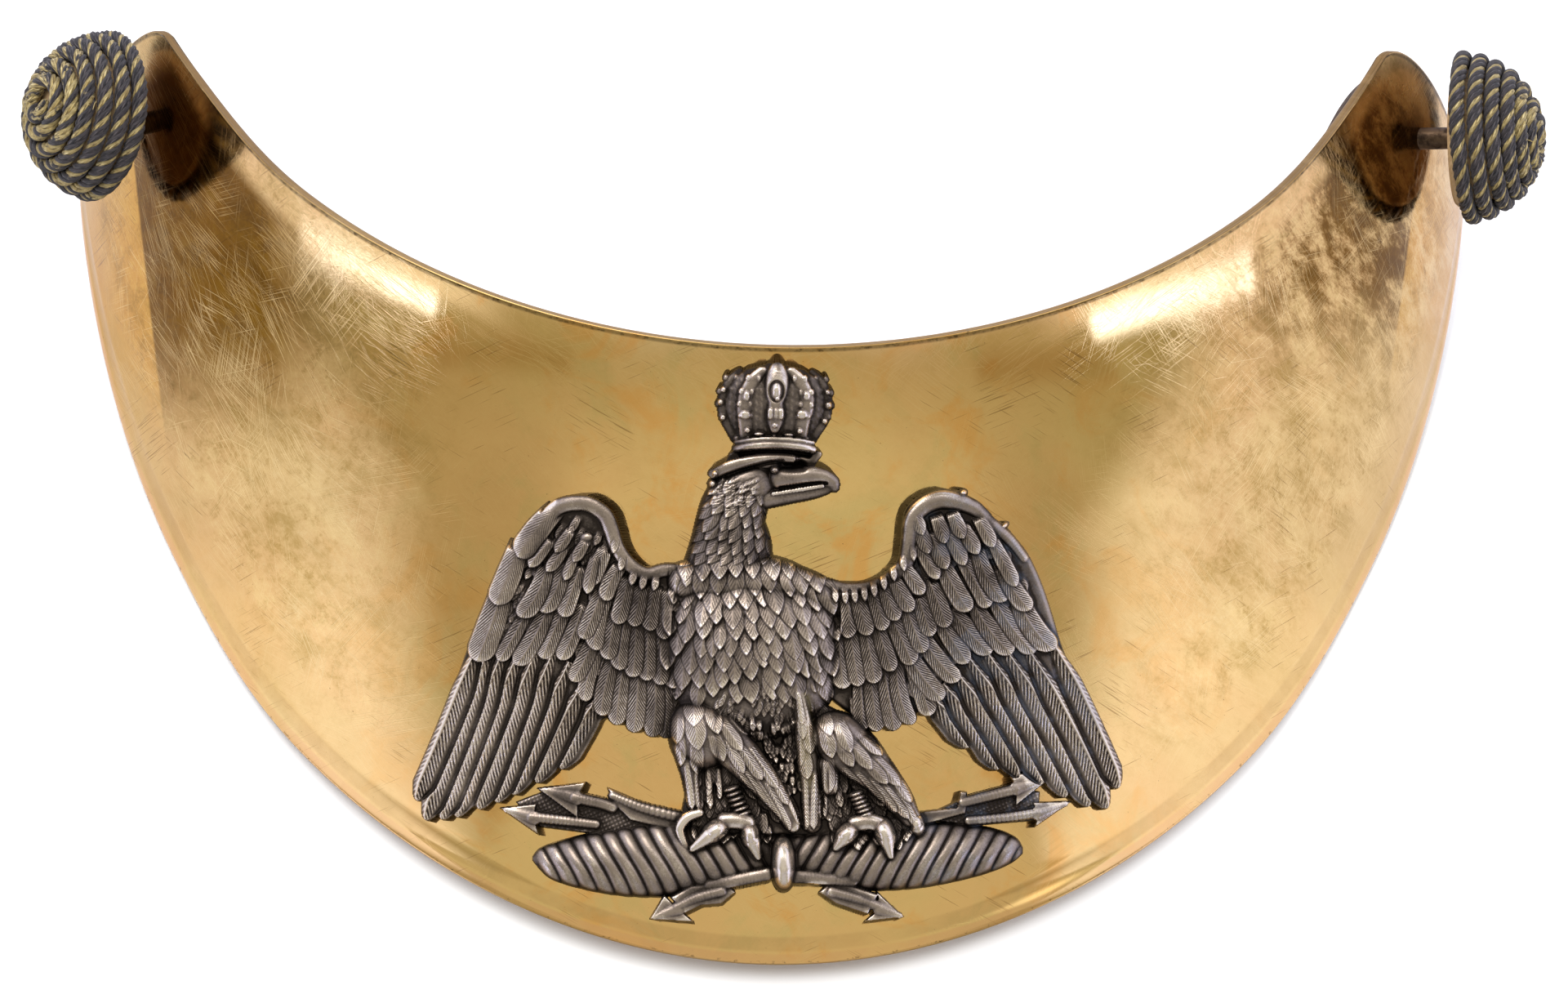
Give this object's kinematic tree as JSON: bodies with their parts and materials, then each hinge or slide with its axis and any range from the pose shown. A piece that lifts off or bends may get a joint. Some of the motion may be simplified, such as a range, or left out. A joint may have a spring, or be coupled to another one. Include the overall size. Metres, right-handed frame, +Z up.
{
  "type": "officers gorget",
  "caption": "Gilt brass officer's gorget, a crescent neck plate with an applied silver crowned eagle on a thunderbolt and a cord-wound dome button on each horn, leather lined.",
  "frame": {"origin": "middle of the bounding box's base, on the surface that the gorget lies face up on", "axes": "+X across the plate towards the viewer's right horn, +Y from the bottom of the crescent towards the horns, +Z up from the surface"},
  "size_m": [0.152, 0.0992, 0.0408],
  "materials": {
    "gilt_brass": "polished, worn gilding with fine scratches and brown tarnish",
    "leather": "matt, dark",
    "silver": "old cast silver, dark in the hollows and bright on the worn highs",
    "button_mould": "dark stained, matt",
    "twisted_cord": "three-strand twist, two dark blue-black and one gold",
    "post_brass": "satin"
  },
  "bodies": {
    "root": {"gorget_plate": "gilt_brass", "leather_lining": "leather", "eagle_badge": "silver", "button_core_left": "button_mould", "button_core_right": "button_mould", "button_cord_left": "twisted_cord", "button_cord_right": "twisted_cord", "button_post_left": "post_brass", "button_post_right": "post_brass"}
  },
  "joints": []
}
